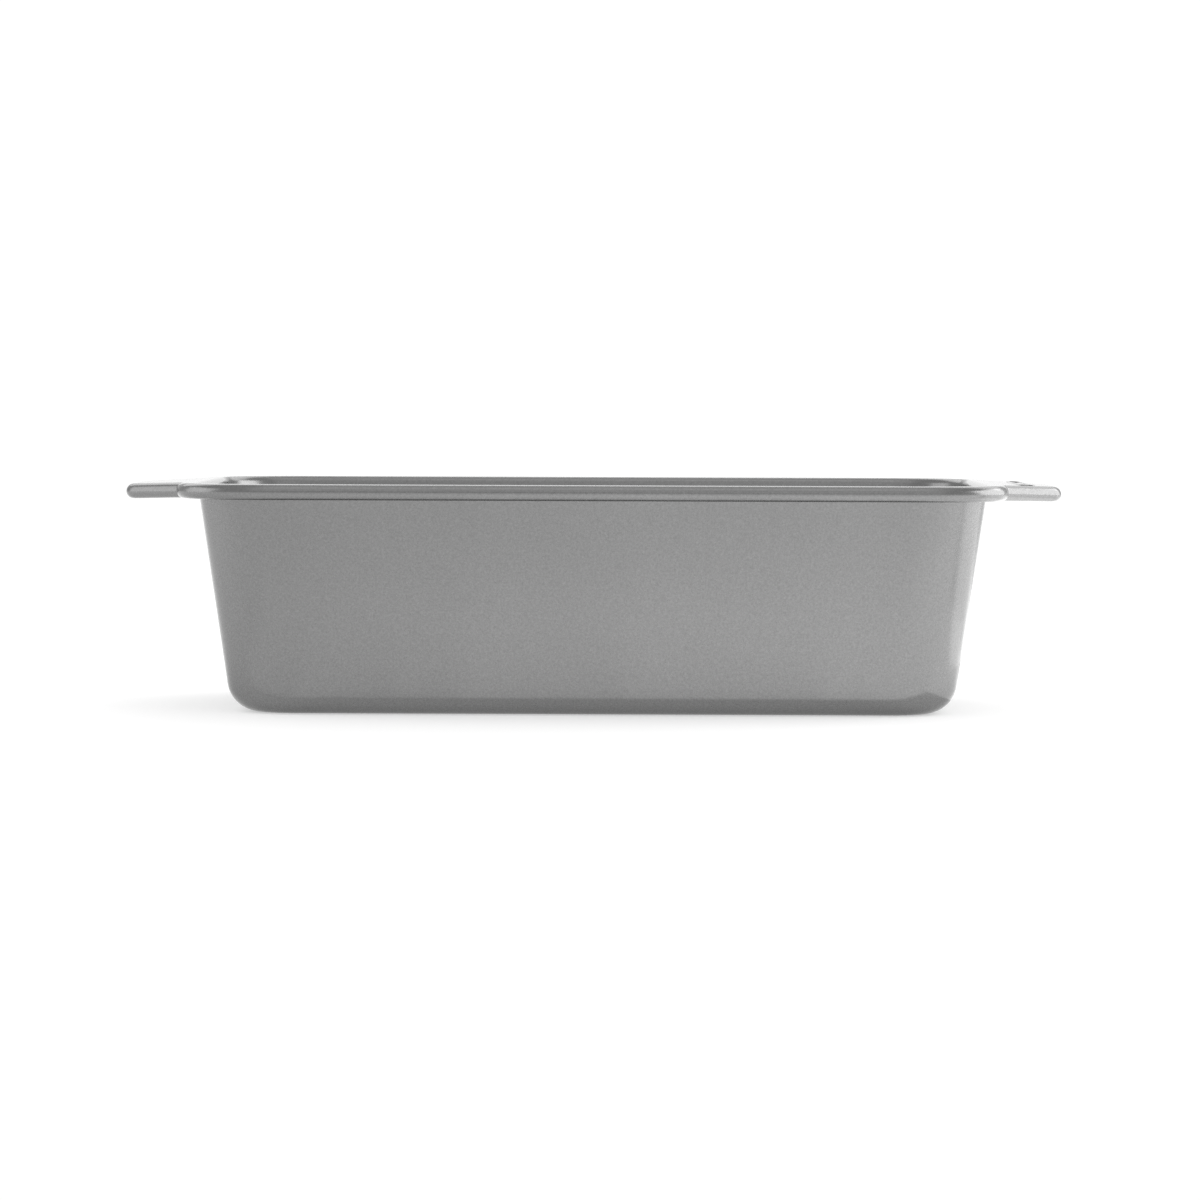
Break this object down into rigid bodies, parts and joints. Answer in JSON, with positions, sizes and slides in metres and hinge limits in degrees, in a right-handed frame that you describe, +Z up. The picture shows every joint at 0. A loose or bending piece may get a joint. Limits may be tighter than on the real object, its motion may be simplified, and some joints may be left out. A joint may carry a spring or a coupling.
{
  "type": "loaf pan",
  "caption": "Rectangular loaf pan with flared walls, rounded corners, a wire-reinforced curled rim and a flat handle at each end, for baking bread and loaf cakes.",
  "frame": {"origin": "centre of the flat underside, at the height of the surface the pan stands on", "axes": "+X along the loaf from one handle to the other, towards the handle with the raised ring; +Y across the loaf, towards the rear; +Z up, out of the mouth"},
  "size_m": [0.2898, 0.1512, 0.07],
  "materials": {
    "coated_sheet": "satin metallic grey non-stick coating on steel sheet",
    "wire": "drawn steel wire"
  },
  "bodies": {
    "root": {"pan_shell": "coated_sheet", "rim_wire": "wire"}
  },
  "joints": []
}
